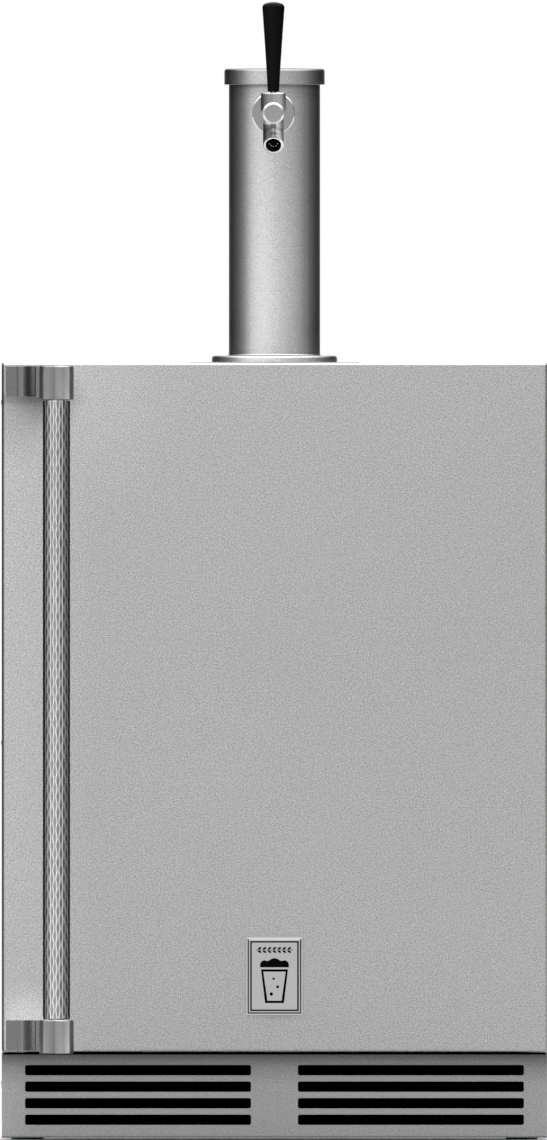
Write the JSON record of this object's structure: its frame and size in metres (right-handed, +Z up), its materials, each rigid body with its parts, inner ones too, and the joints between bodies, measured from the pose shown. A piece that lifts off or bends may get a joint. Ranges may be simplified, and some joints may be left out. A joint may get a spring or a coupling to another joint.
{
  "type": "kegerator",
  "caption": "Undercounter stainless steel beer dispenser: insulated cabinet with a hinged door and a bar handle, toe grille, and a tower on top with one lever faucet.",
  "frame": {"origin": "on the floor, under the middle of the whole object's box", "axes": "+Z up, the door and the faucet face -Y, +X to the user's right"},
  "size_m": [0.6064, 0.7072, 1.2656],
  "materials": {
    "stainless_panel": "fine non-directional satin",
    "polished_steel": "satin to bright",
    "galvanised_steel": "zinc coated",
    "black_enamel": "gloss black paint",
    "black_plastic": "gloss black",
    "white_plastic": "satin white",
    "rubber": "matt",
    "foam": "poured insulation",
    "aluminium": "satin",
    "brass": "machined",
    "clear_hose": "translucent vinyl",
    "red_hose": "red vinyl",
    "lamp": "frosted"
  },
  "bodies": {
    "cabinet": {"base_pan": "galvanised_steel", "beer_line": "clear_hose", "cabinet_foam": "foam", "casing": "stainless_panel", "co2_cylinder": "aluminium", "compressor": "black_enamel", "condenser": "aluminium", "control_housing": "black_plastic", "coupler_body": "polished_steel", "coupler_hook": "galvanised_steel", "cylinder_valve": "brass", "escutcheon": "polished_steel", "evaporator": "aluminium", "evaporator_cover": "white_plastic", "faucet_body": "polished_steel", "faucet_bonnet": "polished_steel", "gas_line": "red_hose", "inner_liner": "stainless_panel", "interior_lamp": "lamp", "lower_hinge_bracket": "galvanised_steel", "power_cord": "rubber", "rear_panel": "galvanised_steel", "regulator_body": "brass", "shank": "polished_steel", "shank_nut": "brass", "toe_grille": "stainless_panel", "tower_cap": "stainless_panel", "tower_flange": "stainless_panel", "tower_insulation": "foam", "tower_tube": "stainless_panel", "upper_hinge_bracket": "galvanised_steel"},
    "door": {"door_skin": "stainless_panel", "door_foam": "foam", "door_liner": "white_plastic", "door_gasket": "rubber", "handle_bar": "polished_steel", "handle_bracket_upper": "polished_steel", "handle_bracket_lower": "polished_steel", "badge": "polished_steel"},
    "tap": {"tap_lever": "polished_steel", "tap_handle": "black_plastic"},
    "valve": {"valve_shaft": "polished_steel"},
    "tray": {"drip_tray": "stainless_panel", "drip_grid": "stainless_panel"},
    "foot_left_front": {"foot_left_front": "black_enamel"},
    "foot_right_front": {"foot_right_front": "black_enamel"},
    "foot_left_rear": {"foot_left_rear": "black_enamel"},
    "foot_right_rear": {"foot_right_rear": "black_enamel"},
    "power_button": {"button_power": "white_plastic"},
    "up_button": {"button_up": "white_plastic"},
    "down_button": {"button_down": "white_plastic"},
    "handwheel": {"valve_handwheel": "black_plastic"},
    "knob": {"regulator_knob": "black_plastic"},
    "shutoff": {"shutoff_lever": "red_hose"},
    "line_needle": {"line_gauge_needle": "black_enamel"},
    "tank_needle": {"tank_gauge_needle": "black_enamel"},
    "lever": {"coupler_lever": "polished_steel"},
    "probe": {"coupler_probe": "polished_steel"},
    "cooling_fan": {"condenser_fan": "black_plastic"},
    "cold_fan": {"evaporator_fan": "black_plastic"}
  },
  "joints": [
    {"name": "door_swing", "type": "hinge", "parent": "cabinet", "child": "door", "pos_m": [0.288, -0.2404, 0.4806], "axis": [0, 0, 1], "range_deg": [0, 105]},
    {"name": "tap_pull", "type": "hinge", "parent": "cabinet", "child": "tap", "pos_m": [0, -0.0322, 1.1556], "axis": [1, 0, 0], "range_deg": [0, 25]},
    {"name": "valve_stroke", "type": "slide", "parent": "cabinet", "child": "valve", "axis": [0, 1, 0], "range_m": [0, 0.0062]},
    {"name": "tray_lift", "type": "slide", "parent": "cabinet", "child": "tray", "axis": [0, 0, 1], "range_m": [0, 0.03]},
    {"name": "level_left_front", "type": "slide", "parent": "cabinet", "child": "foot_left_front", "axis": [0, 0, -1], "range_m": [0, 0.02]},
    {"name": "level_right_front", "type": "slide", "parent": "cabinet", "child": "foot_right_front", "axis": [0, 0, -1], "range_m": [0, 0.02]},
    {"name": "level_left_rear", "type": "slide", "parent": "cabinet", "child": "foot_left_rear", "axis": [0, 0, -1], "range_m": [0, 0.02]},
    {"name": "level_right_rear", "type": "slide", "parent": "cabinet", "child": "foot_right_rear", "axis": [0, 0, -1], "range_m": [0, 0.02]},
    {"name": "press_power", "type": "slide", "parent": "cabinet", "child": "power_button", "axis": [0, 1, 0], "range_m": [0, 0.001], "stiffness_N_per_m": 100},
    {"name": "press_up", "type": "slide", "parent": "cabinet", "child": "up_button", "axis": [0, 1, 0], "range_m": [0, 0.001], "stiffness_N_per_m": 100},
    {"name": "press_down", "type": "slide", "parent": "cabinet", "child": "down_button", "axis": [0, 1, 0], "range_m": [0, 0.001], "stiffness_N_per_m": 100},
    {"name": "handwheel_turn", "type": "hinge", "parent": "cabinet", "child": "handwheel", "pos_m": [-0.1877, 0.2121, 0.7385], "axis": [0, 0, 1], "range_deg": [0, 720]},
    {"name": "knob_turn", "type": "hinge", "parent": "cabinet", "child": "knob", "pos_m": [-0.1877, 0.1216, 0.712], "axis": [0, -1, 0], "range_deg": [0, 1080]},
    {"name": "shutoff_turn", "type": "hinge", "parent": "cabinet", "child": "shutoff", "pos_m": [-0.1877, 0.1296, 0.674], "axis": [0, 1, 0], "range_deg": [0, 90]},
    {"name": "line_needle_turn", "type": "hinge", "parent": "cabinet", "child": "line_needle", "pos_m": [-0.1877, 0.1383, 0.758], "axis": [0, 1, 0], "range_deg": [0, 270]},
    {"name": "tank_needle_turn", "type": "hinge", "parent": "cabinet", "child": "tank_needle", "pos_m": [-0.2322, 0.1383, 0.712], "axis": [0, 1, 0], "range_deg": [0, 270]},
    {"name": "coupler_pull", "type": "hinge", "parent": "cabinet", "child": "lever", "pos_m": [-0.218, -0.0924, 0.69], "axis": [1, 0, 0], "range_deg": [0, 65], "stiffness_Nm_per_rad": 1.5},
    {"name": "probe_stroke", "type": "slide", "parent": "cabinet", "child": "probe", "axis": [0, 0, -1], "range_m": [0, 0.0125], "stiffness_N_per_m": 1500},
    {"name": "cooling_fan_spin", "type": "hinge", "parent": "cabinet", "child": "cooling_fan", "pos_m": [0.08, -0.1244, 0.056], "axis": [0, 1, 0], "continuous": true},
    {"name": "cold_fan_spin", "type": "hinge", "parent": "cabinet", "child": "cold_fan", "pos_m": [0.11, 0.2476, 0.728], "axis": [0, 1, 0], "continuous": true}
  ],
  "couplings": [
    {"joint": "valve_stroke", "follows": "tap_pull", "m_per_rad": 0.0135},
    {"joint": "probe_stroke", "follows": "coupler_pull", "m_per_rad": 0.0105}
  ]
}
